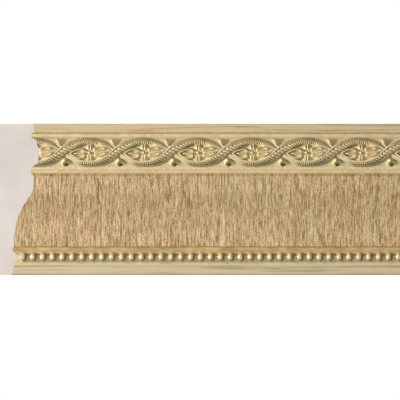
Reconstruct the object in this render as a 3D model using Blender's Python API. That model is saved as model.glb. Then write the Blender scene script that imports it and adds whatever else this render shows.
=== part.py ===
"""Cornice moulding with a guilloche frieze and a row of beads, cut to a short length.

The moulding is one solid with a flat back. x runs along the length, u is the distance out from
the wall and v runs up the face from its bottom edge. The back lies on the wall (the plane y = 0)
with the face towards -Y, and the top meets the ceiling. The origin is the middle of the back.
All sizes are in metres.
"""

import math

import bpy
import numpy as np

# Driving dimensions of the whole moulding
LENGTH = 0.320
FACE_WIDTH = 0.120

# Foot band and the sloping bed that carries the beads
FOOT_BOTTOM_U = 0.0100
FOOT_TOP = (0.0115, 0.0078)
BED_PEAK = (0.0161, 0.0149)
BED_RADIUS = 0.0022

# Flat strip sunk between the beads and the ogee
STRIP_U = 0.0107
STRIP_V = (0.0187, 0.0215)

# Ogee: a long hollow that runs up into a tighter belly
OGEE_FOOT = (0.0115, 0.0222)
HOLLOW_V = 0.0254
HOLLOW_RADIUS = 0.0607
BELLY_RADIUS = 0.0160
OGEE_TURN = math.radians(37.7)
OGEE_TOP_V = 0.0788

# Frieze: a ground that swells in the middle, between two narrow fillets
LOWER_FILLET = ((0.0251, 0.0806), (0.0251, 0.0832))
FRIEZE_U = 0.0255
FRIEZE_V = 0.0969
FRIEZE_HALF_WIDTH = 0.0130
FRIEZE_SWELL = 0.0060
UPPER_FILLET_TOP = (0.0258, 0.1122)
TOP_BAND_FOOT = (0.0284, 0.1138)
TOP_EDGE_U = 0.0269

# Guilloche: one S-shaped strand for each crossing. Its heights are at the tail, crossing and arc.
PITCH = 0.0430
FIRST_CROSSING = 0.00737
STRAND_SWING = 0.0086
STRAND_HALF_WIDTH = (0.0014, 0.0034)
TAIL_HEIGHT = 0.0011
CROSSING_HEIGHT = 0.0035
ARC_HEIGHT = 0.0040
TAIL = 0.55
CREST_SHIFT = 0.20
WALL_POWER = 1.8

# Ball with a point below each crossing, and the wedge-shaped bud above it
KNOB = (0.0020, -0.0070)
KNOB_TIP = 0.0078
KNOB_RADIUS = 0.0029
KNOB_HEIGHT = 0.0038
BUD_V = (0.0050, 0.0108)
BUD_LEFT = (-0.0022, -0.0058)
BUD_RIGHT = (0.0004, 0.0044)
BUD_FLANK = 0.0014
BUD_HEIGHT = 0.0028

# Flower in each eye of the guilloche: two leaves, two petals and a boss
LEFT_LEAF = ((-0.0040, -0.0006), (-0.0160, -0.0004))
RIGHT_LEAF = ((0.0036, 0.0004), (0.0174, 0.0024))
LEAF_HALF_WIDTH = 0.0042
LEAF_HEIGHT = 0.0034
LEAF_RIM = 0.0007
PETAL_UP = (0.0048, -0.0043)
PETAL_HALF_SIZE = (0.0032, 0.0027)
PETAL_HEIGHT = 0.0035
WAIST_HALF_SIZE = (0.0026, 0.0026)
BOSS_RADIUS = 0.0013
BOSS_HEIGHT = 0.0035

# Beads
BEAD_PITCH = 0.00785
FIRST_BEAD = 0.00407
BEAD_HALF_WIDTH = 0.0029
BEAD_HALF_HEIGHT = 0.0036
BEAD_REACH = 0.0036
BEAD_CENTRE = (0.0148, 0.0142)

# Fineness of the carved grid, before it is thinned to the facets that the shape needs
COLUMN_STEP = 0.00075
FRIEZE_STEP = 0.00072
BEAD_STEP = 0.00060
OGEE_STEP = 0.0030
KEPT_FACETS = 0.115

# Length of stock that the saw takes off at each end
WASTE = 0.006

FOIL_COLOUR = (0.56, 0.43, 0.25, 1.0)
FOIL_ROUGHNESS = 0.42


def arc_points(centre, radius, start, end, step):
    """Points on an arc from angle start to angle end, about one step apart."""
    count = max(2, math.ceil(abs(end - start) * radius / step) + 1)
    angles = np.linspace(start, end, count)
    return [(centre[0] + radius * math.cos(a), centre[1] + radius * math.sin(a)) for a in angles]


def line_points(start, end, step):
    """Points on a straight run, about one step apart."""
    count = max(2, math.ceil(math.dist(start, end) / step) + 1)
    return [(start[0] + (end[0] - start[0]) * t, start[1] + (end[1] - start[1]) * t)
            for t in np.linspace(0.0, 1.0, count)]


def rounded_corner(before, corner, after, radius, step):
    """The corner between two straight runs, rounded with an arc."""
    a = np.subtract(before, corner) / math.dist(before, corner)
    b = np.subtract(after, corner) / math.dist(after, corner)
    half = 0.5 * math.acos(float(np.dot(a, b)))
    middle = (a + b) / np.linalg.norm(a + b)
    centre = np.asarray(corner) + middle * radius / math.sin(half)
    touch = radius / math.tan(half)
    first = math.atan2(*(np.asarray(corner) + a * touch - centre)[::-1])
    last = math.atan2(*(np.asarray(corner) + b * touch - centre)[::-1])
    turn = (last - first + math.pi) % (2 * math.pi) - math.pi
    return arc_points(centre, radius, first, first + turn, step)


def frieze_points():
    """The ground of the frieze, without its carving."""
    count = math.ceil(2 * FRIEZE_HALF_WIDTH / FRIEZE_STEP)
    turns = [math.pi * (2 * k / count - 1) for k in range(count + 1)]
    return [(FRIEZE_U + FRIEZE_SWELL * (0.5 + 0.5 * math.cos(turn)),
             FRIEZE_V + FRIEZE_HALF_WIDTH * turn / math.pi) for turn in turns]


def face_outline():
    """The face of the section from its bottom edge to its top edge, as (u, v) points."""
    strip_bottom = (STRIP_U, STRIP_V[0])
    bed_top = rounded_corner(FOOT_TOP, BED_PEAK, strip_bottom, BED_RADIUS, BEAD_STEP)
    bed = (line_points(FOOT_TOP, bed_top[0], BEAD_STEP)
           + bed_top[1:]
           + line_points(bed_top[-1], strip_bottom, BEAD_STEP)[1:])
    hollow_centre = (OGEE_FOOT[0] + HOLLOW_RADIUS, HOLLOW_V)
    hollow = arc_points(hollow_centre, HOLLOW_RADIUS, math.pi, math.pi - OGEE_TURN, OGEE_STEP)
    belly_centre = (hollow[-1][0] - BELLY_RADIUS * math.cos(OGEE_TURN),
                    hollow[-1][1] + BELLY_RADIUS * math.sin(OGEE_TURN))
    belly = arc_points(belly_centre, BELLY_RADIUS, -OGEE_TURN, 0.0, OGEE_STEP)
    return ([(FOOT_BOTTOM_U, 0.0)] + bed + [(STRIP_U, STRIP_V[1]), OGEE_FOOT] + hollow + belly[1:]
            + [(belly[-1][0], OGEE_TOP_V)] + list(LOWER_FILLET) + frieze_points()
            + [UPPER_FILLET_TOP, TOP_BAND_FOOT, (TOP_EDGE_U, FACE_WIDTH)])


def back_outline():
    """The flat back of the section, from the ceiling down to the underside."""
    return [(0.0, FACE_WIDTH), (0.0, 0.0)]


def step_up(low, high, value):
    """0 below low, 1 above high and a smooth rise between."""
    t = np.clip((value - low) / (high - low), 0.0, 1.0)
    return t * t * (3.0 - 2.0 * t)


def bump(value, width):
    """A smooth hump, 1 where value is 0."""
    return np.exp(-(value / width) ** 2)


def dome(distance, radius):
    """A round hump: 1 in the middle, 0 from the radius outwards."""
    return np.sqrt(np.clip(1.0 - (distance / radius) ** 2, 0.0, None))


def strand(along, up):
    """One S-shaped strand. It is thick where it crosses over the next one and tapers at its ends.

    On the arcs its crest lies towards the inside and its outer wall is steep.
    """
    turn = np.pi * along / PITCH
    swell = np.cos(0.5 * turn) ** 2
    slope = STRAND_SWING * np.pi / PITCH * np.cos(turn)
    half_width = STRAND_HALF_WIDTH[0] + (STRAND_HALF_WIDTH[1] - STRAND_HALF_WIDTH[0]) * swell
    across = (up - STRAND_SWING * np.sin(turn)) / np.sqrt(1.0 + slope ** 2) / half_width
    across = np.clip(across, -1.0, 1.0)
    crest = -CREST_SHIFT * np.sin(turn)
    off_crest = np.where(across > crest, (across - crest) / (1.0 - crest), (crest - across) / (1.0 + crest))
    wall = np.abs(np.sin(turn)) * ((across - crest) * np.sin(turn) > 0.0)
    rounded = (1.0 - wall) * dome(off_crest, 1.0) + wall * (1.0 - off_crest ** WALL_POWER)
    body = CROSSING_HEIGHT + (ARC_HEIGHT - CROSSING_HEIGHT) * np.sin(turn) ** 2
    rising = step_up(0.0, TAIL, 1.0 - np.abs(along) / PITCH)
    tall = TAIL_HEIGHT + (body - TAIL_HEIGHT) * rising
    return np.where(np.abs(along) < PITCH, tall * rounded, 0.0)


def knob(along, up):
    """The ball below a crossing, drawn out to a point on its right."""
    beyond = np.clip((along - KNOB[0]) / (KNOB_TIP - KNOB[0]), 0.0, 1.0)
    from_line = np.hypot(np.minimum(along - KNOB[0], 0.0), up - KNOB[1])
    return KNOB_HEIGHT * (1.0 - beyond) ** 0.8 * dome(from_line, KNOB_RADIUS * (1.0 - beyond) + 1e-6)


def bud(along, up):
    """The bud above a crossing: a wedge, high on its left and narrow at its foot."""
    part = np.clip((up - BUD_V[0]) / (BUD_V[1] - BUD_V[0]), 0.0, 1.0)
    left = BUD_LEFT[0] + (BUD_LEFT[1] - BUD_LEFT[0]) * part
    right = BUD_RIGHT[0] + (BUD_RIGHT[1] - BUD_RIGHT[0]) * part
    rise = (along - left) / BUD_FLANK
    fall = (right - along) / np.maximum(right - left - BUD_FLANK, BUD_FLANK)
    top_edge = step_up(0.0, BUD_FLANK, BUD_V[1] - up)
    return BUD_HEIGHT * top_edge * np.clip(np.minimum(rise, fall), 0.0, 1.0) * (up > BUD_V[0])


def leaf(along, up, ends):
    """A pointed leaf from root to tip, with a raised rim and a rib down its middle."""
    (root_x, root_up), (tip_x, tip_up) = ends
    length = math.hypot(tip_x - root_x, tip_up - root_up)
    way_x, way_up = (tip_x - root_x) / length, (tip_up - root_up) / length
    toward = ((along - root_x) * way_x + (up - root_up) * way_up) / length
    aside = (up - root_up) * abs(way_x) - (along - root_x) * way_up * np.sign(way_x)
    half_width = LEAF_HALF_WIDTH * np.sin(np.pi * (0.30 + 0.70 * np.clip(toward, 0.0, 1.0))) ** 0.85
    rim = bump(np.abs(aside) - half_width + 1.2 * LEAF_RIM, LEAF_RIM)
    rib = 0.85 * bump(aside, 1.3 * LEAF_RIM) * (1.0 - step_up(0.55, 0.85, toward))
    edge = 1.0 - step_up(-0.0002, 0.0003, np.abs(aside) - half_width)
    ends_fade = step_up(-0.04, 0.04, toward) * (1.0 - step_up(0.96, 1.02, toward))
    return LEAF_HEIGHT * edge * ends_fade * (0.18 + 0.82 * np.maximum(rim, rib))


def flower(along, up):
    """Leaves, petals and boss of one eye."""
    leaves = np.maximum(leaf(along, up, LEFT_LEAF), leaf(along, up, RIGHT_LEAF))
    petals = [dome(np.hypot(along / PETAL_HALF_SIZE[0], (up - middle) / PETAL_HALF_SIZE[1]), 1.0)
              for middle in PETAL_UP]
    waist = dome(np.hypot(along / WAIST_HALF_SIZE[0], up / WAIST_HALF_SIZE[1]), 1.0)
    body = PETAL_HEIGHT * np.maximum.reduce([*petals, 0.7 * waist])
    return np.maximum.reduce([leaves, body, BOSS_HEIGHT * dome(np.hypot(along, up), BOSS_RADIUS)])


def guilloche(from_tip, v):
    """Height of the frieze's carving at a distance from the left tip of the moulding's back."""
    up = v - FRIEZE_V
    nearest = np.round((from_tip - FIRST_CROSSING) / PITCH)
    along = from_tip - FIRST_CROSSING - nearest * PITCH
    strands = np.maximum.reduce([strand(along + shift, up) for shift in (-PITCH, 0.0, PITCH)])
    from_eye = along - 0.5 * PITCH * np.where(along < 0.0, -1.0, 1.0)
    return np.maximum.reduce([strands, knob(along, up), bud(along, up), flower(from_eye, up)])


def bead_front(from_tip, v):
    """How far out the beads reach, or nothing where there is none."""
    along = (from_tip - FIRST_BEAD + 0.5 * BEAD_PITCH) % BEAD_PITCH - 0.5 * BEAD_PITCH
    hump = dome(np.hypot(along / BEAD_HALF_WIDTH, (v - BEAD_CENTRE[1]) / BEAD_HALF_HEIGHT), 1.0)
    return np.where(hump > 0.0, BEAD_CENTRE[0] + BEAD_REACH * hump, 0.0)


def carve(from_tip, u, v):
    """How far out the face is, with its frieze and beads."""
    from_edge = FRIEZE_HALF_WIDTH - np.abs(v - FRIEZE_V)
    u = np.where(from_edge > 0.0, u + step_up(0.0, 0.0008, from_edge) * guilloche(from_tip, v), u)
    on_bed = (v > FOOT_TOP[1]) & (v < STRIP_V[0])
    return np.where(on_bed, np.maximum(u, bead_front(from_tip, v)), u)


def stock_mesh():
    """An uncut run of moulding, a little longer than the piece at each end."""
    face = face_outline()
    outline = np.array(face + back_outline())
    run = np.arange(-WASTE, LENGTH + WASTE, COLUMN_STEP)
    from_tip, u = np.meshgrid(run, outline[:, 0], indexing="ij")
    v = np.broadcast_to(outline[:, 1], u.shape)
    on_face = np.arange(len(outline)) < len(face)
    u = np.where(on_face, carve(from_tip, u, v), u)
    rings, points = u.shape
    corners = np.stack([from_tip - 0.5 * LENGTH, -u, v - 0.5 * FACE_WIDTH], axis=-1).reshape(-1, 3)
    faces = [list(range(points)), list(range(rings * points - 1, (rings - 1) * points - 1, -1))]
    for ring in range(rings - 1):
        here, beyond = ring * points, (ring + 1) * points
        for point in range(points):
            after = (point + 1) % points
            faces.append([here + after, here + point, beyond + point, beyond + after])
    mesh = bpy.data.meshes.new("cornice_moulding")
    mesh.from_pydata(corners.tolist(), [], faces)
    mesh.update()
    return mesh


def kept_length():
    """The space between the two saw cuts, as an object that only trims the stock.

    The right end is square. The left end is mitred at 45 degrees for an inside corner, so its
    back reaches further left than its front.
    """
    left, right = -0.5 * LENGTH, 0.5 * LENGTH
    deep = 2 * FRIEZE_U
    plan = [(left - WASTE, WASTE), (left + deep, -deep), (right, -deep), (right, WASTE)]
    corners = [(x, y, z) for z in (-FACE_WIDTH, FACE_WIDTH) for x, y in plan]
    sides = [(k, (k + 1) % 4, (k + 1) % 4 + 4, k + 4) for k in range(4)]
    mesh = bpy.data.meshes.new("saw_cuts")
    mesh.from_pydata(corners, [], [(3, 2, 1, 0), (4, 5, 6, 7)] + sides)
    cutter = bpy.data.objects.new("saw_cuts", mesh)
    cutter.hide_render = True
    cutter.display_type = "WIRE"
    return cutter


def foil_material():
    material = bpy.data.materials.new("wood_grain_foil")
    material.use_nodes = True
    shader = material.node_tree.nodes["Principled BSDF"]
    shader.inputs["Base Color"].default_value = FOIL_COLOUR
    shader.inputs["Roughness"].default_value = FOIL_ROUGHNESS
    shader.inputs["Metallic"].default_value = 0.0
    return material


def main():
    for thing in list(bpy.data.objects):
        bpy.data.objects.remove(thing, do_unlink=True)
    mesh = stock_mesh()
    mesh.materials.append(foil_material())
    moulding = bpy.data.objects.new("cornice_moulding", mesh)
    cutter = kept_length()
    for thing in (moulding, cutter):
        bpy.context.scene.collection.objects.link(thing)
    thin = moulding.modifiers.new("thin_to_facets", "DECIMATE")
    thin.decimate_type = "COLLAPSE"
    thin.ratio = KEPT_FACETS
    thin.use_collapse_triangulate = True
    saw = moulding.modifiers.new("saw_to_length", "BOOLEAN")
    saw.operation = "INTERSECT"
    saw.solver = "EXACT"
    saw.object = cutter


main()
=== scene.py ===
"""Looks of the cornice moulding: carved face, wood-grain foil, bare foam on the cuts and the back.

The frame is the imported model: x runs along the length, the flat back lies in the plane y = 0 with
the face towards -Y, and z = 0 is half way up the face. Sizes are in metres. In the section, u is
the distance out from the back and v the height above the bottom edge. Along the length, run is
the distance from the left tip of the back.

The mesh is the section repeated along the length, with the carving as a height that is added to
it. It is then sawn off at both ends and thinned out. Pairs of values that are named as an edge,
an end, a fade or a start are where a smooth change from 0 to 1, or back, begins and is over.
"""

import math

import bmesh
import bpy
import numpy as np
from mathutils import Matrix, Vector


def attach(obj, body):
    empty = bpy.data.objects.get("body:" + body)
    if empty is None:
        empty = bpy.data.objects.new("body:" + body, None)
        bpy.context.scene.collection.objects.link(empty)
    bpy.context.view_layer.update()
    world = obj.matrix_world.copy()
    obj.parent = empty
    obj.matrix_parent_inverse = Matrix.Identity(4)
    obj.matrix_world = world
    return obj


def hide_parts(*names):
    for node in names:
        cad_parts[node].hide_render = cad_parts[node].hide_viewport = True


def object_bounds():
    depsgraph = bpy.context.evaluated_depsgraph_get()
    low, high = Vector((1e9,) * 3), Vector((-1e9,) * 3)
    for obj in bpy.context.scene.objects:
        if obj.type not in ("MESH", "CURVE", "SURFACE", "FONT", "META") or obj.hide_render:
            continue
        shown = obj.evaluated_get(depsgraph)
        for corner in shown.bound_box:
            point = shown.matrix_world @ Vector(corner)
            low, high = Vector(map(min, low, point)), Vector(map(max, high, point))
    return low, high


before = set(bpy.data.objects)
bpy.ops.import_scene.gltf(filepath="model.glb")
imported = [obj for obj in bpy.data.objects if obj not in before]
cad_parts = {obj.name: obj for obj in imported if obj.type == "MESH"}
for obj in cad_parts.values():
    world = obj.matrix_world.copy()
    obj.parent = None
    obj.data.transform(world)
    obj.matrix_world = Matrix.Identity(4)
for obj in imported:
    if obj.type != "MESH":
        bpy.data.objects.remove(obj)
CAD_LOW, CAD_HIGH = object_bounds()
LENGTH = CAD_HIGH.x - CAD_LOW.x
FACE_WIDTH = CAD_HIGH.z - CAD_LOW.z

# Foot band and the sloping bed that carries the beads
FOOT_BOTTOM_U = 0.0100
FOOT_TOP = (0.0115, 0.0078)
BED_PEAK = (0.0161, 0.0149)
BED_MARGIN = 0.0002

# Flat strip sunk between the beads and the ogee
STRIP_U = 0.0107
STRIP_V = (0.0187, 0.0215)

# Ogee: a long hollow that runs up into a tighter belly
OGEE_FOOT = (0.0115, 0.0222)
HOLLOW_V = 0.0254
HOLLOW_RADIUS = 0.0607
BELLY_RADIUS = 0.0160
OGEE_TURN = math.radians(37.7)
OGEE_TOP_V = 0.0788

# Frieze: a ground that swells in the middle, between two narrow fillets
LOWER_FILLET = ((0.0251, 0.0806), (0.0251, 0.0832))
FRIEZE_U = 0.0255
FRIEZE_V = 0.0969
FRIEZE_HALF_WIDTH = 0.0130
FRIEZE_SWELL = 0.0060
FRIEZE_EDGE = 0.0008
UPPER_FILLET_TOP = (0.0258, 0.1122)
TOP_BAND_FOOT = (0.0284, 0.1138)
TOP_EDGE_U = 0.0269

# Guilloche: one S-shaped strand for each crossing. Its path is a sine with slightly flattened turns
PITCH = 0.0430
FIRST_CROSSING = 0.0504
STRAND_SWING = 0.0091
STRAND_UP = 0.00045
FLATTENED = 0.04
PATH_SWING = STRAND_SWING / (1.0 - FLATTENED)
PATH_SLOPE = PATH_SWING * math.pi / PITCH
CROSSING_HALF_WIDTH = 0.0042
ARC_HALF_WIDTH = 0.0027
CROSSING_HEIGHT = 0.0034
ARC_HEIGHT = 0.0040

# Tails of a strand, which get narrow, low and plain. TAIL_TAPER is a share of the width, and the
# places along the strand are shares of the pitch
TAPER_START = 0.70
TAIL_TAPER = 0.45
TAIL_FALL = 0.55
TAIL_HEIGHT = 0.0011
TICKS_END = (0.60, 0.76)

# Section of a strand. Places across it go from -1 at its lower edge to 1 at its upper edge, and
# places on its arcs from -1 at the lowest point of its path to 1 at the highest. The height of the
# rim is a share of the crest's height
CREST_ON_TOP_ARC = -0.20
CREST_ELSEWHERE = 0.22
LOW_WALL_END = (0.2, 0.7)
WALL_POWER = 1.8
RIM_CREST = 0.72
RIM_WIDTH = 0.20
RIM_HEIGHT = 0.92
RIM_EDGE = 0.50
RIM_SHIFT = 0.50
RIM_EDGE_WIDTH = 0.10

# Cuts in a strand: cross ticks, with deeper gaps and a notch on the bottom arc, and a groove beside
# the rim. Depths are shares of the strand's height. GAP_DEPTH is how much of its own depth a tick gains
TICK_PITCH_AT_ARC = 0.00148
TICK_PITCH_AT_CROSSING = 0.0025
TICK_TILT = 0.22
TICK_POWER = 1.5
TICK_DEPTH = 0.36
TICK_FOOT = (-0.60, -0.30)
TICK_FOOT_FADE = 1.5
GAP_DEPTH = 1.2
GAP_TOP = (-0.3, 0.0)
NOTCH = -0.45
NOTCH_WIDTH = 0.10
NOTCH_DEPTH = 0.35
RIM_GROOVE_WIDTH = 0.12
RIM_GROOVE_DEPTH = 0.30
DEEPEST_CUT = 0.9

# Painted shade on a strand, from 0 for none to 1, and where on its arcs and across it that begins or ends
TOP_WALL_SHADE = 0.44
TOP_SHADE_ON_ARC = (0.0, 0.45)
TOP_SHADE_ACROSS = (-0.10, 0.20)
LOW_WALL_SHADE = 0.42
LOW_SHADE_END = (0.3, 0.7)
LOW_SHADE_ACROSS = (-0.50, -0.25)
GAP_SHADE = 0.80
GAP_SHADE_WIDTH = 0.16
GAP_SHADE_ON_ARC = (0.15, 0.60)
GROOVE_SHADE = 0.30

# Ball with a point below each crossing and a pit at its foot. Places are measured from the crossing
KNOB = (0.0020, -0.0073)
KNOB_TIP = 0.0080
KNOB_RADIUS = 0.0032
KNOB_HEIGHT = 0.0044
KNOB_TAPER = 0.8
LEAST_RADIUS = 1e-6
PIT = (0.0029, -0.0088)
PIT_HALF_SIZE = (0.0018, 0.0014)
PIT_DEPTH = 0.0042
# Painted shade in the pit, darkest where it is deepest
PIT_SHADE = 0.6

# Wedge-shaped bud above each crossing. Each pair is the value at its foot and the one at its top
BUD_V = (0.0050, 0.0114)
BUD_LEFT = (-0.0038, -0.0056)
BUD_RIGHT = (0.0008, 0.0044)
BUD_FLANK = (0.0024, 0.0010)
BUD_TOP_EDGE = 0.0014
BUD_HEIGHT = 0.0012

# Painted shade on the bud, to the right of a line that leans to the left
BUD_SHADE = 0.38
BUD_SHADE_EDGE = (-0.0034, -0.0022)
BUD_SHADE_LEAN = 0.40

# Two leaves in each eye of the guilloche, each from root to tip, measured from the middle of the eye.
# The outline of a leaf is a half wave that begins at the share LEAF_ROOT. The heights of its ground
# and its ribs are shares of LEAF_HEIGHT
LEFT_LEAF = ((-0.0040, -0.0006), (-0.0160, -0.0004))
RIGHT_LEAF = ((0.0036, 0.0004), (0.0174, 0.0024))
LEAF_HALF_WIDTH = 0.0042
LEAF_ROOT = 0.30
LEAF_POWER = 0.85
LEAF_HEIGHT = 0.0034
LEAF_GROUND = 0.30
LEAF_EDGE = (-0.0002, 0.0003)
LEAF_RIM = 0.0007
LOWER_RIM = 1.3 * LEAF_RIM
RIM_INSET = 1.2 * LEAF_RIM
RIBS_ASIDE = 0.0014
RIB_HEIGHT = 0.85

# Where the parts of a leaf fade out, in shares of its length from the root. RIGHT_TIP_FADE is how
# much of the right leaf's rim does
RIM_FADE = (0.55, 0.90)
RIB_FADE = (0.55, 0.85)
ROOT_END = 0.04
TIP_END = (0.96, 1.02)
LEFT_ROOT_FADE = 0.25
RIGHT_ROOT_FADE = 0.04
RIGHT_TIP_FADE = 0.8

# Two petals, the waist between them and a boss in its ring, in the middle of each eye
PETAL_UP = (0.0048, -0.0043)
PETAL_HALF_SIZE = (0.0034, 0.0028)
PETAL_HEIGHT = 0.0024
PETAL_POWER = 1.6
VEIN_WIDTH = 0.00045
VEIN_DEPTH = 0.55
# Painted shade over the lit left flank of the petals
PETAL_FLANK = -0.0032
PETAL_FLANK_WIDTH = 0.0012
PETAL_FLANK_UP = (0.0016, 0.0030)
PETAL_FLANK_SHADE = 0.35
WAIST_HALF_SIZE = (0.0034, 0.0030)
WAIST_HEIGHT = 0.0018
BOSS_RADIUS = 0.0012
BOSS_HEIGHT = 0.0033
BOSS_RING = 0.0018
RING_WIDTH = 0.0004
RING_DEPTH = 0.75

# Beads
BEAD_PITCH = 0.00785
FIRST_BEAD = 0.01927
BEAD_HALF_WIDTH = 0.0029
BEAD_HALF_HEIGHT = 0.0036
BEAD_REACH = 0.0036
BEAD_FULLNESS = 0.65
BEAD_CENTRE = (0.0148, 0.0142)
BEAD_SKIRT = 1.04

# Shaded crescent on each bead: the lower right part of a ring, whose radii are shares of its half size
CRESCENT_ASIDE = -0.0001
CRESCENT_V = 0.0147
CRESCENT_HALF_SIZE = (0.0018, 0.0029)
CRESCENT_INSIDE = (0.62, 0.90)
CRESCENT_OUTSIDE = (1.60, 1.15)
CRESCENT_WAY = (0.55, -0.83)
CRESCENT_ENDS = (-0.15, 0.35)
CRESCENT_SHADE = 0.60

# Upright marks in the ogee's foil, as (x, heights of both ends, half width, wander, waves a metre)
CRACK = (-0.0812, (0.0556, 0.0771), 0.0009, 0.0070, 75.0)
HAIRLINE = (-0.0792, (0.0222, 0.0545), 0.0006, 0.0012, 40.0)
HAIRLINE_SHINE = (-0.0780, (0.0222, 0.0545), 0.0008, 0.0012, 40.0)
SEAM = (0.0143, (0.0222, 0.0788), 0.0007, 0.0004, 20.0)
PALE_STREAK = (0.0180, (0.0222, 0.0500), 0.0016, 0.0040, 70.0)
LINE_CORE = 0.4
LINE_END = 0.001

# Dark level lines along the ogee's top and foot, as (height, half width, noise that breaks them, its level)
# The top one is partly the foil's dotted edge and partly painted shade under the fillet, the foot one
# painted shade at the step down to the strip
FRINGE = (0.0800, 0.0026, (420.0, 0.0, 90.0), 0.30)
FOOT_LINE = (0.0222, 0.0010, (380.0, 0.0, 0.0), 0.25)
LEVEL_CORE = 0.3
BREAK_RANGE = 0.22

# Shaded creases in the hollow corners and along the outer edges, as (height, half width, strength)
FILLET_CREASE = (0.1121, 0.0009, 0.40)
FRIEZE_CREASE = (0.1093, 0.0010, 0.20)
LEDGE_CREASE = (0.0832, 0.0009, 0.20)
LEDGE_FOOT = (0.0808, 0.0016, 0.25)
STRIP_CREASE = (0.0190, 0.0009, 0.35)
FOOT_CREASE = (0.0072, 0.0014, 0.18)
BOTTOM_EDGE = (0.0, 0.0018, 0.75)
TOP_EDGE = (0.1200, 0.0008, 0.35)

# Noise in each finish, in cycles a metre along x, y and z
FIBRES = (1250.0, 60.0, 130.0)
LONG_FIBRES = (600.0, 30.0, 24.0)
GRIT = (1300.0, 900.0, 900.0)
DASHES = (1000.0, 40.0, 150.0)
WEAR = (0.0, 0.0, 240.0)
OGEE_PATCHES = (60.0, 10.0, 14.0)
BAND_LINES = (14.0, 150.0, 520.0)
BAND_PATCHES = (18.0, 60.0, 90.0)
STRIP_PATCHES = (90.0, 60.0, 160.0)
PLAIN_MOTTLE = (220.0, 300.0, 300.0)
SATIN_MOTTLE = (500.0, 500.0, 500.0)
SATIN_PATCHES = (40.0, 40.0, 60.0)
FOAM_CELLS = (1500.0, 1500.0, 1500.0)
FOAM_PATCHES = (30.0, 30.0, 30.0)
FLOOR_PATCHES = (3.0, 3.0, 3.0)

# Shares of the noises in the ogee's grain, and the levels of noise at which its other marks start
FIBRE_SHARE = 0.55
LONG_FIBRE_SHARE = 0.17
GRIT_SHARE = 0.28
DASH_START = (0.60, 0.72)
WEAR_START = (0.10, 0.45)

# Colours as red, green and blue from 0 to 255, and tones as steps of (noise, colour)
CREASE_COLOUR = (128, 104, 66)
PAINTED_SHADE_COLOUR = (88, 70, 34)
DASH_COLOUR = (124, 94, 56)
CRACK_COLOUR = (110, 83, 48)
HAIRLINE_COLOUR = (128, 98, 62)
SHINE_COLOUR = (240, 220, 184)
SEAM_COLOUR = (132, 102, 66)
PALE_COLOUR = (240, 222, 190)
FRINGE_COLOUR = (120, 92, 58)
FOOT_LINE_COLOUR = (110, 84, 52)
FOOT_BAND_TINT = (238, 242, 247)
OGEE_TONES = ((0.40, (144, 112, 70)), (0.50, (200, 171, 127)), (0.60, (234, 211, 169)))
BAND_TONES = ((0.34, (186, 162, 122)), (0.46, (222, 200, 160)), (0.70, (230, 210, 172)))
STRIP_TONES = ((0.34, (170, 136, 88)), (0.48, (192, 159, 105)), (0.62, (208, 183, 124)))
PLAIN_TONES = ((0.35, (210, 185, 137)), (0.65, (226, 205, 159)))
RELIEF_TONES = ((0.35, (211, 193, 149)), (0.65, (231, 215, 173)))
BED_TONES = ((0.35, (218, 202, 156)), (0.65, (232, 218, 176)))
BEAD_TONES = ((0.35, (193, 176, 131)), (0.65, (209, 193, 149)))
FOAM_TONES = ((0.3, (166, 160, 155)), (0.7, (175, 169, 164)))
FLOOR_TONES = ((0.3, (232, 231, 229)), (0.7, (240, 239, 237)))
FOIL_METALLIC = 0.15

# Heights in z between which the tint of the foot band sets in, half way between the two bands
FOOT_TINT_START = (0.01, -0.01)

# Fineness of the mesh: plain stretches have one column where carved ones have several
FINE_STEP = 0.00027
COLUMNS_IN_ONE = 10
ARC_STEP = 0.0016
WASTE = 0.006
SAME_PLACE = 1e-7
MOST_TRIANGLES = 190_000

# Rounding of the section's corners. It takes at most the share MOST_OF_SIDE of each side. The places
# of its points are shares of the length that it takes, and the outer two lie on the flat sides
CORNER_RADIUS = 0.0007
CORNER_TURN = math.radians(14)
CORNER_PLACES = (-1.6, -1.0, -0.5, 0.0, 0.5, 1.0, 1.6)
MOST_OF_SIDE = 0.4

# Picture: its width in the plane that is PICTURE_U out from the back, and the x and z at its middle
PICTURE_WIDTH = 0.3179
PICTURE_U = 0.008
PICTURE_MIDDLE = (-0.0006, -0.0004)
LENS = 800.0
SENSOR = 36.0


def arc(centre, radius, start, end, step):
    """Points on an arc from angle start to angle end, about one step apart."""
    count = max(3, math.ceil(abs(end - start) * radius / step) + 1)
    return [(centre[0] + radius * math.cos(a), centre[1] + radius * math.sin(a))
            for a in np.linspace(start, end, count)]


def line(start, end, step):
    """Points on a straight run, about one step apart."""
    count = max(2, math.ceil(math.dist(start, end) / step) + 1)
    return [(start[0] + (end[0] - start[0]) * t, start[1] + (end[1] - start[1]) * t)
            for t in np.linspace(0.0, 1.0, count)]


def ogee_points():
    """The ogee, from its foot up to the fillet below the frieze."""
    hollow_centre = (OGEE_FOOT[0] + HOLLOW_RADIUS, HOLLOW_V)
    hollow = arc(hollow_centre, HOLLOW_RADIUS, math.pi, math.pi - OGEE_TURN, ARC_STEP)
    belly_centre = (hollow[-1][0] - BELLY_RADIUS * math.cos(OGEE_TURN),
                    hollow[-1][1] + BELLY_RADIUS * math.sin(OGEE_TURN))
    belly = arc(belly_centre, BELLY_RADIUS, -OGEE_TURN, 0.0, 0.5 * ARC_STEP)
    return [OGEE_FOOT] + hollow + belly[1:] + [(belly[-1][0], OGEE_TOP_V)]


def frieze_points():
    """The ground of the frieze, without its carving."""
    count = math.ceil(2.0 * FRIEZE_HALF_WIDTH / FINE_STEP)
    turns = [math.pi * (2.0 * k / count - 1.0) for k in range(count + 1)]
    return [(FRIEZE_U + FRIEZE_SWELL * (0.5 + 0.5 * math.cos(turn)),
             FRIEZE_V + FRIEZE_HALF_WIDTH * turn / math.pi) for turn in turns]


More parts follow.
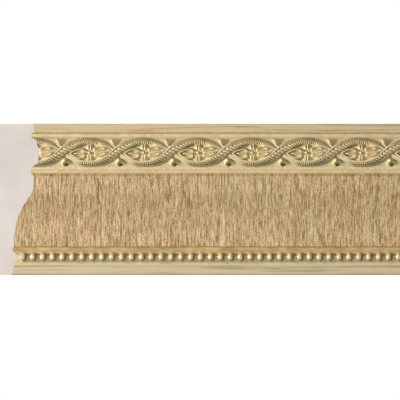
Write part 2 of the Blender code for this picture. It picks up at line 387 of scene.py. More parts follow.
def section():
    """The closed section as (point, finish of the stretch that follows, whether that is carved)."""
    strip_bottom = (STRIP_U, STRIP_V[0])
    strip_top = (STRIP_U, STRIP_V[1])
    foot = (FOOT_BOTTOM_U, 0.0)
    top_edge = (TOP_EDGE_U, FACE_WIDTH)
    bed = line(FOOT_TOP, BED_PEAK, FINE_STEP) + line(BED_PEAK, strip_bottom, FINE_STEP)[1:]
    ogee = ogee_points()
    frieze = frieze_points()
    stretches = [
        ("plain_foil", [(0.0, 0.0), foot], False),
        ("band_foil", [foot, FOOT_TOP], False),
        ("bed_foil", bed, True),
        ("strip_foil", [strip_bottom, strip_top, OGEE_FOOT], False),
        ("ogee_foil", ogee + [LOWER_FILLET[0]], False),
        ("plain_foil", [*LOWER_FILLET, frieze[0]], False),
        ("relief_foil", frieze, True),
        ("plain_foil", [frieze[-1], UPPER_FILLET_TOP, TOP_BAND_FOOT], False),
        ("band_foil", [TOP_BAND_FOOT, top_edge], False),
        ("plain_foil", [top_edge, (0.0, FACE_WIDTH)], False),
        ("bare_foam", [(0.0, FACE_WIDTH), (0.0, 0.0)], False),
    ]
    return [(point, finish, carved) for finish, points, carved in stretches for point in points[:-1]]


def softened(outline):
    """The same section with every sharp corner rounded by a small curve."""
    result = []
    for index, (corner, finish, carved) in enumerate(outline):
        before, finish_before, carved_before = outline[index - 1]
        after = outline[(index + 1) % len(outline)][0]
        reach_before, reach_after = math.dist(before, corner), math.dist(after, corner)
        back = np.subtract(before, corner) / reach_before
        onward = np.subtract(after, corner) / reach_after
        turn = math.pi - math.acos(max(-1.0, min(1.0, float(np.dot(back, onward)))))
        if turn < CORNER_TURN:
            result.append((corner, finish, carved))
            continue
        touch = min(CORNER_RADIUS * math.tan(0.5 * turn), MOST_OF_SIDE * min(reach_before, reach_after))
        for place in CORNER_PLACES:
            way = back if place < 0 else onward
            inset = 0.25 * max(0.0, 1.0 - abs(place)) ** 2
            point = np.asarray(corner) + touch * (way * abs(place) + (back + onward) * inset)
            own = (finish_before, carved_before) if place < 0 else (finish, carved)
            result.append((tuple(float(x) for x in point), *own))
    return result


def step_up(low, high, value):
    """0 below low, 1 above high and a smooth rise between."""
    t = np.clip((value - low) / (high - low), 0.0, 1.0)
    return t * t * (3.0 - 2.0 * t)


def bump(value, width):
    """A smooth hump, 1 where value is 0."""
    return np.exp(-(value / width) ** 2)


def dome(distance, radius):
    """A round hump: 1 in the middle, 0 from the radius outwards."""
    return np.sqrt(np.clip(1.0 - (distance / radius) ** 2, 0.0, None))


def from_nearest(run, first, pitch):
    """Distance along the length from the nearest one of a row, negative to its left."""
    return (run - first + 0.5 * pitch) % pitch - 0.5 * pitch


def strand_crest(share, side):
    """Height of a strand's crest, which sinks towards its tails."""
    body = CROSSING_HEIGHT + (ARC_HEIGHT - CROSSING_HEIGHT) * side ** 2
    return TAIL_HEIGHT + (body - TAIL_HEIGHT) * step_up(0.0, TAIL_FALL, 1.0 - share)


def rim_edge(side):
    """Place across a strand at which its rim begins, lower on the top arc."""
    return RIM_EDGE - RIM_SHIFT * np.clip(side, 0.0, 1.0)


def strand_section(across, side):
    """Height across a strand, 1 on its crest: steep outer walls, a round inner side and a rim."""
    top_arc = np.clip(side, 0.0, 1.0)
    crest = CREST_ELSEWHERE + (CREST_ON_TOP_ARC - CREST_ELSEWHERE) * top_arc
    off_crest = np.where(across > crest, (across - crest) / (1.0 - crest), (crest - across) / (1.0 + crest))
    wall = np.where(across > crest, top_arc, 1.0 - step_up(*LOW_WALL_END, side))
    body = (1.0 - wall) * dome(off_crest, 1.0) + wall * (1.0 - off_crest ** WALL_POWER)
    rim = RIM_HEIGHT * bump(across - RIM_CREST, RIM_WIDTH) * (1.0 - top_arc)
    return np.maximum(body, rim * (np.abs(across) < 1.0))


def strand_ticks(along, above, across):
    """The cross ticks, from 0 between them to 1 in their middle. They are wider apart at the crossing."""
    turn = np.pi * along / PITCH
    side = np.sin(turn)
    at_arc, at_crossing = 1.0 / TICK_PITCH_AT_ARC, 1.0 / TICK_PITCH_AT_CROSSING
    rate = at_arc - (at_arc - at_crossing) * np.cos(turn) ** 2
    opening = 0.5 * along + PITCH / (4.0 * np.pi) * np.sin(2.0 * turn)
    lean = rate * (1.0 - side ** 6) / (PATH_SLOPE * (1.0 + 3.0 * FLATTENED) + TICK_TILT)
    phase = at_arc * along - (at_arc - at_crossing) * opening + lean * above
    groove = (0.5 + 0.5 * np.cos(2.0 * np.pi * phase)) ** TICK_POWER
    edge = rim_edge(side)
    below_rim = 1.0 - step_up(edge - RIM_EDGE_WIDTH, edge, across)
    above_foot = np.maximum(step_up(*TICK_FOOT, across), np.clip(TICK_FOOT_FADE * side, 0.0, 1.0))
    return below_rim * above_foot * groove


def strand_cut(across, side, ticks):
    """How deep a strand is cut, as a share of its height."""
    bottom_arc = np.clip(-side, 0.0, 1.0)
    gaps = 1.0 + GAP_DEPTH * (1.0 - step_up(*GAP_TOP, across)) * bottom_arc
    beside_rim = RIM_GROOVE_DEPTH * bump(across - rim_edge(side), RIM_GROOVE_WIDTH) * (1.0 - np.abs(side))
    notch = NOTCH_DEPTH * bump(across - NOTCH, NOTCH_WIDTH) * bottom_arc
    return np.clip(TICK_DEPTH * gaps * ticks + beside_rim + notch, 0.0, DEEPEST_CUT)


def strand_painted_shade(across, side, ticks):
    """How dark the painted shade is on a strand's outer walls, in its gaps and in its ticks."""
    top_arc = np.clip(side, 0.0, 1.0)
    bottom_arc = np.clip(-side, 0.0, 1.0)
    on_top_wall = TOP_WALL_SHADE * step_up(*TOP_SHADE_ON_ARC, top_arc) * step_up(*TOP_SHADE_ACROSS, across)
    below_top_arc = LOW_WALL_SHADE * (1.0 - step_up(*LOW_SHADE_END, side))
    on_low_wall = below_top_arc * (1.0 - step_up(*LOW_SHADE_ACROSS, across))
    in_gaps = GAP_SHADE * bump(across - NOTCH, GAP_SHADE_WIDTH) * step_up(*GAP_SHADE_ON_ARC, bottom_arc)
    return np.maximum.reduce([on_top_wall, on_low_wall, in_gaps, GROOVE_SHADE * ticks])


def strand(along, up):
    """Height and painted shade of one strand, widest where it crosses over the next one."""
    turn = np.pi * along / PITCH
    side = np.sin(turn)
    share = np.abs(along) / PITCH
    above = up - STRAND_UP - PATH_SWING * (side + FLATTENED * np.sin(3.0 * turn))
    slope = PATH_SLOPE * (np.cos(turn) + 3.0 * FLATTENED * np.cos(3.0 * turn))
    wide = np.clip(np.cos(turn), 0.0, None) ** 2
    half_width = ARC_HALF_WIDTH + (CROSSING_HALF_WIDTH - ARC_HALF_WIDTH) * wide
    half_width = half_width * (1.0 - TAIL_TAPER * step_up(TAPER_START, 1.0, share))
    across = np.clip(above / np.sqrt(1.0 + slope ** 2) / half_width, -1.0, 1.0)
    ticks = strand_ticks(along, above, across)
    on_body = 1.0 - step_up(*TICKS_END, share)
    uncut = strand_crest(share, side) * strand_section(across, side)
    height = np.where(share < 1.0, uncut * (1.0 - on_body * strand_cut(across, side, ticks)), 0.0)
    return height, on_body * strand_painted_shade(across, side, ticks)


def knob(along, up):
    """The ball below a crossing, drawn out to a point on its right."""
    beyond = np.clip((along - KNOB[0]) / (KNOB_TIP - KNOB[0]), 0.0, 1.0)
    radius = KNOB_RADIUS * (1.0 - beyond) + LEAST_RADIUS
    from_line = np.hypot(np.minimum(along - KNOB[0], 0.0), up - KNOB[1])
    return KNOB_HEIGHT * (1.0 - beyond) ** KNOB_TAPER * dome(from_line, radius)


def pit(along, up):
    """Depth of the pit at the foot of the ball."""
    away = np.hypot((along - PIT[0]) / PIT_HALF_SIZE[0], (up - PIT[1]) / PIT_HALF_SIZE[1])
    return PIT_DEPTH * np.exp(-away ** 3)


def bud(along, up):
    """The bud above a crossing: a wedge, high on its left and narrow at its foot."""
    part = np.clip((up - BUD_V[0]) / (BUD_V[1] - BUD_V[0]), 0.0, 1.0)
    left = BUD_LEFT[0] + (BUD_LEFT[1] - BUD_LEFT[0]) * part
    right = BUD_RIGHT[0] + (BUD_RIGHT[1] - BUD_RIGHT[0]) * part
    flank = BUD_FLANK[0] + (BUD_FLANK[1] - BUD_FLANK[0]) * part
    rise = (along - left) / flank
    fall = (right - along) / np.maximum(right - left - flank, BUD_TOP_EDGE)
    top_edge = step_up(0.0, BUD_TOP_EDGE, BUD_V[1] - up)
    return BUD_HEIGHT * top_edge * np.clip(np.minimum(rise, fall), 0.0, 1.0) * (up > BUD_V[0])


def leaf(along, up, ends, rib_aside, root_fade, tip_fade):
    """A pointed leaf from root to tip, with a raised rim and a rib down its middle or two beside it."""
    (root_x, root_up), (tip_x, tip_up) = ends
    length = math.hypot(tip_x - root_x, tip_up - root_up)
    way_x, way_up = (tip_x - root_x) / length, (tip_up - root_up) / length
    toward = ((along - root_x) * way_x + (up - root_up) * way_up) / length
    aside = (up - root_up) * abs(way_x) - (along - root_x) * way_up * np.sign(way_x)
    turn = np.pi * (LEAF_ROOT + (1.0 - LEAF_ROOT) * np.clip(toward, 0.0, 1.0))
    half_width = LEAF_HALF_WIDTH * np.sin(turn) ** LEAF_POWER
    rim = bump(np.abs(aside) - half_width + RIM_INSET, np.where(aside < 0.0, LOWER_RIM, LEAF_RIM))
    rim = rim * (1.0 - tip_fade * step_up(*RIM_FADE, toward))
    rib = RIB_HEIGHT * bump(np.abs(aside) - rib_aside, LEAF_RIM) * (1.0 - step_up(*RIB_FADE, toward))
    edge = 1.0 - step_up(*LEAF_EDGE, np.abs(aside) - half_width)
    inside = edge * step_up(-root_fade, ROOT_END, toward) * (1.0 - step_up(*TIP_END, toward))
    return LEAF_HEIGHT * inside * (LEAF_GROUND + (1.0 - LEAF_GROUND) * np.maximum(rim, rib))


def flower(along, up):
    """Leaves, petals and boss of one eye."""
    left = leaf(along, up, LEFT_LEAF, 0.0, LEFT_ROOT_FADE, 0.0)
    right = leaf(along, up, RIGHT_LEAF, RIBS_ASIDE, RIGHT_ROOT_FADE, RIGHT_TIP_FADE)
    waist = np.hypot(along / WAIST_HALF_SIZE[0], up / WAIST_HALF_SIZE[1])
    body = WAIST_HEIGHT * dome(waist, 1.0) ** PETAL_POWER
    vein = VEIN_DEPTH * bump(along, VEIN_WIDTH)
    for middle in PETAL_UP:
        away = np.hypot(along / PETAL_HALF_SIZE[0], (up - middle) / PETAL_HALF_SIZE[1])
        body = np.maximum(body, PETAL_HEIGHT * dome(away, 1.0) ** PETAL_POWER * (1.0 - vein))
    from_boss = np.hypot(along, up)
    body = body * (1.0 - RING_DEPTH * bump(from_boss - BOSS_RING, RING_WIDTH))
    return np.maximum.reduce([left, right, body, BOSS_HEIGHT * dome(from_boss, BOSS_RADIUS)])


def guilloche(run, v):
    """Height of the frieze's carving, and how dark the painted shade in its recesses is, from 0 to 1."""
    up = v - FRIEZE_V
    along = from_nearest(run, FIRST_CROSSING, PITCH)
    from_eye = along - 0.5 * PITCH * np.where(along < 0.0, -1.0, 1.0)
    height = np.maximum(knob(along, up), flower(from_eye, up))
    on_flank = bump(from_eye - PETAL_FLANK, PETAL_FLANK_WIDTH) * step_up(*PETAL_FLANK_UP, up)
    painted_shade = PETAL_FLANK_SHADE * on_flank
    on_bud = bud(along, up)
    right_of_ridge = step_up(*BUD_SHADE_EDGE, along + BUD_SHADE_LEAN * (up - BUD_V[0]))
    painted_shade = np.where(on_bud > height, BUD_SHADE * right_of_ridge, painted_shade)
    height = np.maximum(height, on_bud)
    for shift in (-PITCH, 0.0, PITCH):
        on_strand, shade_there = strand(along + shift, up)
        painted_shade = np.where(on_strand > height, shade_there, painted_shade)
        height = np.maximum(height, on_strand)
    depth = pit(along, up)
    return height - depth, np.maximum(painted_shade, PIT_SHADE * depth / PIT_DEPTH)


def from_bead(run, v):
    """Distance from the middle of the nearest bead, 1 at the edge of the bead."""
    along = from_nearest(run, FIRST_BEAD, BEAD_PITCH)
    return np.hypot(along / BEAD_HALF_WIDTH, (v - BEAD_CENTRE[1]) / BEAD_HALF_HEIGHT)


def bead_front(run, v):
    """How far out the beads reach, or 0 where there is none."""
    hump = dome(from_bead(run, v), 1.0)
    return np.where(hump > 0.0, BEAD_CENTRE[0] + BEAD_REACH * hump ** BEAD_FULLNESS, 0.0)


def within_frieze(v):
    """1 on the frieze, 0 outside it and a short rise between."""
    return step_up(0.0, FRIEZE_EDGE, FRIEZE_HALF_WIDTH - np.abs(v - FRIEZE_V))


def carve(run, u, v):
    """How far out the face is, with its frieze and beads."""
    near_edge = within_frieze(v)
    u = u + np.where(near_edge > 0.0, near_edge * guilloche(run, v)[0], 0.0)
    on_bed = (v > FOOT_TOP[1] + BED_MARGIN) & (v < STRIP_V[0] - BED_MARGIN)
    return np.where(on_bed, np.maximum(u, bead_front(run, v)), u)


def stock_mesh(outline, finishes):
    """An uncut run of moulding, a little longer than the piece at each end.

    The outline's points are rows of the mesh. Where a fine row meets a coarse one, each face is as
    wide as a coarse column and has a corner at every point of the fine row.
    """
    fine_run = np.arange(-WASTE, LENGTH + WASTE + COLUMNS_IN_ONE * FINE_STEP, FINE_STEP)
    cells = (len(fine_run) - 1) // COLUMNS_IN_ONE
    fine_run = fine_run[:cells * COLUMNS_IN_ONE + 1]
    corners, rows = [], []
    count = 0
    for index, ((u, v), _, carved) in enumerate(outline):
        fine = carved or outline[index - 1][2]
        run = fine_run if fine else fine_run[::COLUMNS_IN_ONE]
        out = carve(run, np.full_like(run, u), np.full_like(run, v)) if fine else np.full_like(run, u)
        corners.append(np.stack([run + CAD_LOW.x, -out, np.full_like(run, v) + CAD_LOW.z], axis=-1))
        rows.append((count, fine))
        count += len(run)
    faces, slots = [], []
    for index, (here, fine) in enumerate(rows):
        above, fine_above = rows[(index + 1) % len(rows)]
        if fine and fine_above:
            made = [(here + k, here + k + 1, above + k + 1, above + k)
                    for k in range(cells * COLUMNS_IN_ONE)]
        else:
            steps = COLUMNS_IN_ONE if fine else 1
            steps_above = COLUMNS_IN_ONE if fine_above else 1
            made = [tuple(here + k * steps + i for i in range(steps + 1))
                    + tuple(above + k * steps_above + i for i in range(steps_above, -1, -1))
                    for k in range(cells)]
        faces.extend(made)
        slots.extend([finishes.index(outline[index][1])] * len(made))
    mesh = bpy.data.meshes.new("moulding_face")
    mesh.from_pydata(np.concatenate(corners).tolist(), [], faces)
    mesh.polygons.foreach_set("material_index", slots)
    return mesh


def saw(mesh, point, outward, foam_slot):
    """Cuts off what lies beyond a plane and closes the cut."""
    form = bmesh.new()
    form.from_mesh(mesh)
    everything = form.verts[:] + form.edges[:] + form.faces[:]
    cut = bmesh.ops.bisect_plane(form, geom=everything, dist=SAME_PLACE, plane_co=point,
                                 plane_no=outward, clear_outer=True)
    rim = [e for e in cut["geom_cut"] if isinstance(e, bmesh.types.BMEdge)]
    lid = bmesh.ops.contextual_create(form, geom=rim)
    for face in lid["faces"]:
        face.material_index = foam_slot
        for edge in face.edges:
            edge.smooth = False
    form.to_mesh(mesh)
    form.free()


def straighten(mesh):
    """Turns every face outwards and splits the ones with more than four corners."""
    form = bmesh.new()
    form.from_mesh(mesh)
    bmesh.ops.recalc_face_normals(form, faces=form.faces)
    bmesh.ops.triangulate(form, faces=[f for f in form.faces if len(f.verts) > 4])
    form.to_mesh(mesh)
    form.free()


def coordinates(tree, scale):
    """Object coordinates stretched by a scale for each axis, in cycles a metre."""
    place = tree.nodes.new("ShaderNodeTexCoord")
    mapping = tree.nodes.new("ShaderNodeMapping")
    mapping.inputs["Scale"].default_value = scale
    tree.links.new(place.outputs["Object"], mapping.inputs["Vector"])
    return mapping.outputs["Vector"]


def noise(tree, scale, detail=3.0, roughness=0.55, distortion=0.0):
    """Noise from 0 to 1 with its own scale for each axis, in cycles a metre."""
    texture = tree.nodes.new("ShaderNodeTexNoise")
    texture.inputs["Scale"].default_value = 1.0
    texture.inputs["Detail"].default_value = detail
    texture.inputs["Roughness"].default_value = roughness
    texture.inputs["Distortion"].default_value = distortion
    tree.links.new(coordinates(tree, scale), texture.inputs["Vector"])
    return texture.outputs["Fac"]


def along_axis(tree, axis):
    """The object coordinate along X, Y or Z."""
    place = tree.nodes.new("ShaderNodeTexCoord")
    parts = tree.nodes.new("ShaderNodeSeparateXYZ")
    tree.links.new(place.outputs["Object"], parts.inputs["Vector"])
    return parts.outputs[axis]


def from_level(tree, v):
    """Distance up or down from the height v on the face."""
    offset = calculate(tree, "SUBTRACT", along_axis(tree, "Z"), v + CAD_LOW.z)
    return calculate(tree, "ABSOLUTE", offset, 0.0)


def rises(tree, value, low, high):
    """0 below low, 1 above high, smooth between. With low above high it falls instead."""
    node = tree.nodes.new("ShaderNodeMapRange")
    node.interpolation_type = "SMOOTHSTEP"
    node.inputs["From Min"].default_value = min(low, high)
    node.inputs["From Max"].default_value = max(low, high)
    node.inputs["To Min"].default_value = 0.0 if low < high else 1.0
    node.inputs["To Max"].default_value = 1.0 if low < high else 0.0
    tree.links.new(value, node.inputs["Value"])
    return node.outputs["Result"]


def upright_line(tree, x, v_range, half_width, wander, waves):
    """Mask of a thin line up the face at x, which wanders from side to side."""
    sway = calculate(tree, "SUBTRACT", noise(tree, (0.0, 0.0, waves), detail=2.0), 0.5)
    sway = calculate(tree, "MULTIPLY", sway, wander)
    offset = calculate(tree, "SUBTRACT", along_axis(tree, "X"), x)
    offset = calculate(tree, "ABSOLUTE", calculate(tree, "SUBTRACT", offset, sway), 0.0)
    mask = rises(tree, offset, half_width, LINE_CORE * half_width)
    z = along_axis(tree, "Z")
    low, high = (v + CAD_LOW.z for v in v_range)
    mask = calculate(tree, "MULTIPLY", mask, rises(tree, z, low - LINE_END, low + LINE_END))
    return calculate(tree, "MULTIPLY", mask, rises(tree, z, high + LINE_END, high - LINE_END))


def level_line(tree, v, half_width, dots, start):
    """Mask of a thin lengthwise line at height v, broken by noise from the level start upwards."""
    mask = rises(tree, from_level(tree, v), half_width, LEVEL_CORE * half_width)
    broken = rises(tree, noise(tree, dots, detail=2.0), start, start + BREAK_RANGE)
    return calculate(tree, "MULTIPLY", mask, broken)


def creased(tree, colour, *creases):
    """The colour with painted shade along level creases, given as (height, half width, strength)."""
    for v, half_width, strength in creases:
        mask = rises(tree, from_level(tree, v), half_width, 0.0)
        colour = marked(tree, colour, mask, strength, CREASE_COLOUR)
    return colour


def marked(tree, colour, mask, strength, over):
    """The colour with another one over it where the mask is."""
    return blend(tree, calculate(tree, "MULTIPLY", mask, strength), colour, over)


def tinted(tree, colour, patches, amount, warm, cool, spread=0.15):
    """The colour with broad warm and cool patches. The spread is how far apart in the noise they start."""
    tint = ramp(tree, noise(tree, patches, detail=2.0), (0.5 - spread, warm), (0.5 + spread, cool))
    return blend(tree, amount, colour, tint, "MULTIPLY")


def ramp(tree, value, *stops):
    """Colours at places from 0 to 1."""
    node = tree.nodes.new("ShaderNodeValToRGB")
    elements = node.color_ramp.elements
    while len(elements) < len(stops):
        elements.new(0.5)
    for element, (position, colour) in zip(elements, stops):
        element.position = position
        element.color = (*linear(colour), 1.0)
    tree.links.new(value, node.inputs["Fac"])
    return node.outputs["Color"]


def linear(colour):
    """Scene values of a colour given as 0 to 255 in red, green and blue."""
    return tuple((c / 255 / 12.92) if c <= 10 else ((c / 255 + 0.055) / 1.055) ** 2.4 for c in colour)


def calculate(tree, operation, first, second):
    """One step of arithmetic. The second value may be a number."""
    node = tree.nodes.new("ShaderNodeMath")
    node.operation = operation
    for socket, value in zip(node.inputs, (first, second)):
        if isinstance(value, (int, float)):
            socket.default_value = value
        else:
            tree.links.new(value, socket)
    return node.outputs["Value"]


def weighted(tree, *terms):
    """The sum of values, each times its weight."""
    total = 0.0
    for value, weight in terms:
        total = calculate(tree, "ADD", calculate(tree, "MULTIPLY", value, weight), total)
    return total


def blend(tree, amount, under, over, mode="MIX"):
    """Two colours mixed. The amount may be a number."""
    node = tree.nodes.new("ShaderNodeMix")
    node.data_type = "RGBA"
    node.blend_type = mode
    for name, value in (("Factor_Float", amount), ("A_Color", under), ("B_Color", over)):
        socket = next(s for s in node.inputs if s.identifier == name)
        if isinstance(value, bpy.types.NodeSocket):
            tree.links.new(value, socket)
        elif isinstance(value, tuple):
            socket.default_value = (*linear(value), 1.0)
        else:
            socket.default_value = value
    return next(s for s in node.outputs if s.identifier == "Result_Color")


def new_finish(name, roughness, metallic):
    """A material with a Principled shader, and its node tree and shader."""
    material = bpy.data.materials.new(name)
    material.use_nodes = True
    shader = material.node_tree.nodes["Principled BSDF"]
    shader.inputs["Roughness"].default_value = roughness
    shader.inputs["Metallic"].default_value = metallic
    return material, material.node_tree, shader


def emboss(tree, shader, height, depth, strength):
    """Bump of a real depth in metres."""
    node = tree.nodes.new("ShaderNodeBump")
    node.inputs["Strength"].default_value = strength
    node.inputs["Distance"].default_value = depth
    tree.links.new(height, node.inputs["Height"])
    tree.links.new(node.outputs["Normal"], shader.inputs["Normal"])


def ogee_foil():
    """Foil on the ogee: fine upright fibres, pressed in, with a crack, a seam and broad patches."""
    material, tree, shader = new_finish("ogee_foil", roughness=0.50, metallic=FOIL_METALLIC)
    fibres = noise(tree, FIBRES, detail=2.5, roughness=0.6)
    long_fibres = noise(tree, LONG_FIBRES, detail=2.0)
    grit = noise(tree, GRIT, detail=1.0)
    grain = weighted(tree, (fibres, FIBRE_SHARE), (long_fibres, LONG_FIBRE_SHARE), (grit, GRIT_SHARE))
    colour = ramp(tree, grain, *OGEE_TONES)
    dashes = rises(tree, noise(tree, DASHES, detail=1.0), *DASH_START)
    colour = marked(tree, colour, dashes, 0.45, DASH_COLOUR)
    colour = tinted(tree, colour, OGEE_PATCHES, 0.35, warm=(236, 212, 196), cool=(220, 220, 186))
    worn = rises(tree, noise(tree, WEAR, detail=1.0), *WEAR_START)
    crack = calculate(tree, "MULTIPLY", upright_line(tree, *CRACK), worn)
    marks = (
        (crack, 0.85, CRACK_COLOUR),
        (upright_line(tree, *HAIRLINE), 0.65, HAIRLINE_COLOUR),
        (upright_line(tree, *HAIRLINE_SHINE), 0.22, SHINE_COLOUR),
        (upright_line(tree, *SEAM), 0.40, SEAM_COLOUR),
        (upright_line(tree, *PALE_STREAK), 0.40, PALE_COLOUR),
        # The fringe and the foot line are painted shade at the ogee's top and foot, the fringe partly also
        # the foil's dotted edge
        (level_line(tree, *FRINGE), 0.07, FRINGE_COLOUR),
        (level_line(tree, *FOOT_LINE), 0.60, FOOT_LINE_COLOUR),
    )
    for mask, strength, over in marks:
        colour = marked(tree, colour, mask, strength, over)
    tree.links.new(colour, shader.inputs["Base Color"])
    emboss(tree, shader, grain, depth=0.0004, strength=0.6)
    return material


def band_foil():
    """Foil on the top and foot bands: faint wavy lines along the length."""
    material, tree, shader = new_finish("band_foil", roughness=0.45, metallic=FOIL_METALLIC)
    lines = noise(tree, BAND_LINES, detail=3.0, roughness=0.6, distortion=0.4)
    colour = ramp(tree, lines, *BAND_TONES)
    colour = tinted(tree, colour, BAND_PATCHES, 0.3, warm=(236, 216, 206), cool=(222, 222, 190))
    on_foot = rises(tree, along_axis(tree, "Z"), *FOOT_TINT_START)
    colour = blend(tree, on_foot, colour, FOOT_BAND_TINT, "MULTIPLY")
    colour = creased(tree, colour, FOOT_CREASE, BOTTOM_EDGE, TOP_EDGE)
    tree.links.new(colour, shader.inputs["Base Color"])
    emboss(tree, shader, lines, depth=0.0002, strength=0.5)
    return material


def strip_foil():
    """Foil in the sunk strip: painted darker and deeper ochre for the shade and bounced light in it, nearly
    even.
    """
    material, tree, shader = new_finish("strip_foil", roughness=0.45, metallic=FOIL_METALLIC)
    broad = noise(tree, STRIP_PATCHES, detail=3.0)
    colour = creased(tree, ramp(tree, broad, *STRIP_TONES), STRIP_CREASE)
    tree.links.new(colour, shader.inputs["Base Color"])
    emboss(tree, shader, broad, depth=0.0002, strength=0.3)
    return material


def plain_foil():
    """Foil on the fillets, the top and the underside: smooth, with faint mottling."""
    material, tree, shader = new_finish("plain_foil", roughness=0.42, metallic=0.2)
    mottle = noise(tree, PLAIN_MOTTLE, detail=3.0)
    colour = creased(tree, ramp(tree, mottle, *PLAIN_TONES), FILLET_CREASE, LEDGE_CREASE, LEDGE_FOOT)
    tree.links.new(colour, shader.inputs["Base Color"])
    emboss(tree, shader, mottle, depth=0.0002, strength=0.3)
    return material


def satin_foil(name, roughness, tones):
    """Foil without grain: a soft mottle with broad warm and cool patches."""
    material, tree, shader = new_finish(name, roughness, FOIL_METALLIC)
    mottle = noise(tree, SATIN_MOTTLE, detail=2.0)
    colour = ramp(tree, mottle, *tones)
    colour = tinted(tree, colour, SATIN_PATCHES, 0.35, warm=(236, 218, 200), cool=(222, 222, 188))
    colour = creased(tree, colour, FRIEZE_CREASE, LEDGE_CREASE)
    tree.links.new(colour, shader.inputs["Base Color"])
    emboss(tree, shader, mottle, depth=0.0001, strength=0.3)
    return material


def add_painted_shade(material, amount):
    """Lays painted shade, such as that of the recesses, over the colour of a finish."""
    tree = material.node_tree
    colour = tree.nodes["Principled BSDF"].inputs["Base Color"]
    tree.links.new(blend(tree, amount, colour.links[0].from_socket, PAINTED_SHADE_COLOUR), colour)


def relief_foil():
    """Foil over the frieze's carving: satin, with painted shade in the recesses."""
    material = satin_foil("relief_foil", 0.44, RELIEF_TONES)
    amount = material.node_tree.nodes.new("ShaderNodeAttribute")
    amount.attribute_name = "painted_shade"
    add_painted_shade(material, amount.outputs["Fac"])
    return material


def bed_foil():
    """Foil over the sloping bed between and below the beads."""
    return satin_foil("bed_foil", 0.42, BED_TONES)


def crescent(tree):
    """Mask of the crescent of painted shade on each bead, below and to the right of its middle."""
    first_x = CAD_LOW.x + FIRST_BEAD + CRESCENT_ASIDE - 0.5 * BEAD_PITCH
    from_first = calculate(tree, "SUBTRACT", along_axis(tree, "X"), first_x)
    turns = calculate(tree, "FRACT", calculate(tree, "DIVIDE", from_first, BEAD_PITCH), 0.0)
    across = calculate(tree, "SUBTRACT", turns, 0.5)
    across = calculate(tree, "MULTIPLY", across, BEAD_PITCH / CRESCENT_HALF_SIZE[0])
    up = calculate(tree, "SUBTRACT", along_axis(tree, "Z"), CAD_LOW.z + CRESCENT_V)
    up = calculate(tree, "DIVIDE", up, CRESCENT_HALF_SIZE[1])
    squared = calculate(tree, "ADD", calculate(tree, "MULTIPLY", across, across),
                        calculate(tree, "MULTIPLY", up, up))
    radius = calculate(tree, "SQRT", squared, 0.0)
    ring = calculate(tree, "MULTIPLY", rises(tree, radius, *CRESCENT_INSIDE),
                     rises(tree, radius, *CRESCENT_OUTSIDE))
    toward = weighted(tree, (across, CRESCENT_WAY[0]), (up, CRESCENT_WAY[1]))
    return calculate(tree, "MULTIPLY", ring, rises(tree, toward, *CRESCENT_ENDS))


def bead_foil():
    """Foil over the beads: lightly polished, with a crescent of painted shade."""
    material = satin_foil("bead_foil", 0.42, BEAD_TONES)
    shader = material.node_tree.nodes["Principled BSDF"]
    shader.inputs["Coat Weight"].default_value = 0.18
    shader.inputs["Coat Roughness"].default_value = 0.15
    mask = crescent(material.node_tree)
    add_painted_shade(material, calculate(material.node_tree, "MULTIPLY", mask, CRESCENT_SHADE))
    return material


def bare_foam():
    """The bare foam on the cuts and the back: pale, with a fine closed grain."""
    material, tree, shader = new_finish("bare_foam", roughness=0.85, metallic=0.0)
    cells = noise(tree, FOAM_CELLS, detail=2.0)
    colour = tinted(tree, ramp(tree, cells, *FOAM_TONES), FOAM_PATCHES, 1.0,
                    warm=(244, 240, 236), cool=(254, 252, 250), spread=0.2)
    tree.links.new(colour, shader.inputs["Base Color"])
    emboss(tree, shader, cells, depth=0.0001, strength=0.4)
    return material


def make_moulding():
    """The moulding as one piece that stands for its solid."""
    makers = (ogee_foil, band_foil, strip_foil, plain_foil, relief_foil, bed_foil, bead_foil, bare_foam)
    materials = [maker() for maker in makers]
    finishes = [material.name for material in materials]
    foam, bed, bead = (finishes.index(name) for name in ("bare_foam", "bed_foil", "bead_foil"))
    mesh = stock_mesh(softened(section()), finishes)
    saw(mesh, Vector((CAD_LOW.x, 0.0, 0.0)), Vector((-1.0, -1.0, 0.0)).normalized(), foam)
    saw(mesh, Vector((CAD_HIGH.x, 0.0, 0.0)), Vector((1.0, 0.0, 0.0)), foam)
    straighten(mesh)
    for material in materials:
        mesh.materials.append(material)
    for polygon in mesh.polygons:
        middle = polygon.center
        on_bed = polygon.material_index == bed
        if on_bed and from_bead(middle.x - CAD_LOW.x, middle.z - CAD_LOW.z) < BEAD_SKIRT:
            polygon.material_index = bead
    mesh.polygons.foreach_set("use_smooth", [p.material_index != foam for p in mesh.polygons])
    moulding = bpy.data.objects.new("moulding_face", mesh)
    bpy.context.scene.collection.objects.link(moulding)
    thin_out(moulding, finishes)
    mark_painted_shade(moulding.data)
    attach(moulding, "root")
    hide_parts("cornice_moulding")


def thin_out(moulding, finishes):
    """Merges facets of the carving where they say little, to keep to the limit."""
    mesh = moulding.data
    triangles = sum(len(p.vertices) - 2 for p in mesh.polygons)
    if triangles <= MOST_TRIANGLES:
        return
    carved = [finishes.index(name) for name in ("relief_foil", "bed_foil", "bead_foil")]
    inside, fixed = set(), set()
    for polygon in mesh.polygons:
        (inside if polygon.material_index in carved else fixed).update(polygon.vertices)
    group = moulding.vertex_groups.new(name="carving")
    group.add(sorted(inside - fixed), 1.0, "REPLACE")
    thin = moulding.modifiers.new("thin_out", "DECIMATE")
    thin.decimate_type = "COLLAPSE"
    thin.vertex_group = group.name
    thin.ratio = MOST_TRIANGLES / triangles
    bpy.context.view_layer.update()
    evaluated = moulding.evaluated_get(bpy.context.evaluated_depsgraph_get())
    slimmer = bpy.data.meshes.new_from_object(evaluated)
    moulding.modifiers.clear()
    moulding.data = slimmer
    print("triangles", triangles, "kept", sum(len(p.vertices) - 2 for p in slimmer.polygons))


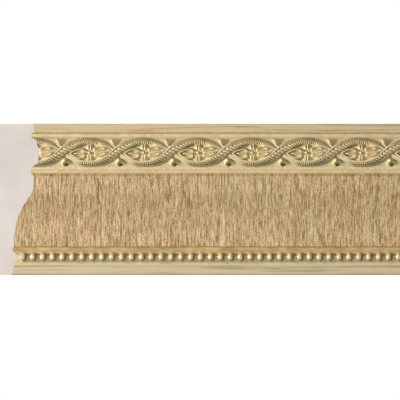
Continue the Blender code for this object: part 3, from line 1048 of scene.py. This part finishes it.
def mark_painted_shade(mesh):
    """Stores how dark the painted shade is at each corner of the mesh, for the foil of the frieze."""
    places = np.empty(3 * len(mesh.vertices))
    mesh.vertices.foreach_get("co", places)
    places = places.reshape(-1, 3)
    run, v = places[:, 0] - CAD_LOW.x, places[:, 2] - CAD_LOW.z
    amount = within_frieze(v) * guilloche(run, v)[1]
    mesh.attributes.new("painted_shade", "FLOAT", "POINT").data.foreach_set("value", amount)


def make_floor():
    """A pale round floor, below the picture."""
    bpy.ops.mesh.primitive_circle_add(vertices=96, radius=1.0, fill_type="NGON", location=(0.0, 0.0, -0.50))
    floor = bpy.context.object
    floor.name = "floor"
    material, tree, shader = new_finish("floor_paint", roughness=0.8, metallic=0.0)
    colour = ramp(tree, noise(tree, FLOOR_PATCHES), *FLOOR_TONES)
    tree.links.new(colour, shader.inputs["Base Color"])
    floor.data.materials.append(material)


def make_light(name, azimuth, elevation, distance, size, power):
    """A soft light that looks at the moulding. Azimuth 0 is in front of it, negative is to its left."""
    data = bpy.data.lights.new(name, "AREA")
    data.shape = "RECTANGLE"
    data.size, data.size_y = size
    data.energy = power
    light = bpy.data.objects.new(name, data)
    a, e = math.radians(azimuth), math.radians(elevation)
    way = Vector((math.sin(a) * math.cos(e), -math.cos(a) * math.cos(e), math.sin(e)))
    light.location = way * distance
    light.rotation_euler = way.to_track_quat("Z", "Y").to_euler()
    bpy.context.scene.collection.objects.link(light)


def make_studio():
    """A low key from the left, a weak front light, a glint on the beads, a light behind and a dim room.

    The camera sees the room as plain white.
    """
    make_light("key", azimuth=-60.0, elevation=6.0, distance=3.2, size=(0.9, 0.6), power=155.0)
    make_light("front", azimuth=0.0, elevation=0.0, distance=3.0, size=(1.2, 1.2), power=3.0)
    make_light("glint", azimuth=-10.0, elevation=-13.0, distance=3.0, size=(0.09, 0.09), power=6.0)
    make_light("behind", azimuth=180.0, elevation=35.0, distance=2.0, size=(1.2, 1.2), power=20.0)
    world = bpy.data.worlds.new("studio")
    bpy.context.scene.world = world
    world.use_nodes = True
    tree = world.node_tree
    around = tree.nodes["Background"]
    around.inputs["Color"].default_value = (1.0, 0.99, 0.98, 1.0)
    around.inputs["Strength"].default_value = 0.10
    seen = tree.nodes.new("ShaderNodeBackground")
    seen.inputs["Color"].default_value = (1.0, 1.0, 1.0, 1.0)
    path = tree.nodes.new("ShaderNodeLightPath")
    either = tree.nodes.new("ShaderNodeMixShader")
    tree.links.new(path.outputs["Is Camera Ray"], either.inputs[0])
    tree.links.new(around.outputs["Background"], either.inputs[1])
    tree.links.new(seen.outputs["Background"], either.inputs[2])
    tree.links.new(either.outputs["Shader"], tree.nodes["World Output"].inputs["Surface"])
    bpy.context.scene.view_settings.view_transform = "Standard"


def make_camera():
    """Straight at the face, with a long lens. The picture is a little narrower than the length."""
    data = bpy.data.cameras.new("camera")
    data.lens, data.sensor_width = LENS, SENSOR
    data.clip_start, data.clip_end = 0.1, 20.0
    camera = bpy.data.objects.new("camera", data)
    distance = PICTURE_WIDTH * LENS / SENSOR
    camera.location = (PICTURE_MIDDLE[0], -PICTURE_U - distance, PICTURE_MIDDLE[1])
    camera.rotation_euler = (math.radians(90), 0.0, 0.0)
    bpy.context.scene.collection.objects.link(camera)
    bpy.context.scene.camera = camera


make_moulding()
make_floor()
make_studio()
make_camera()
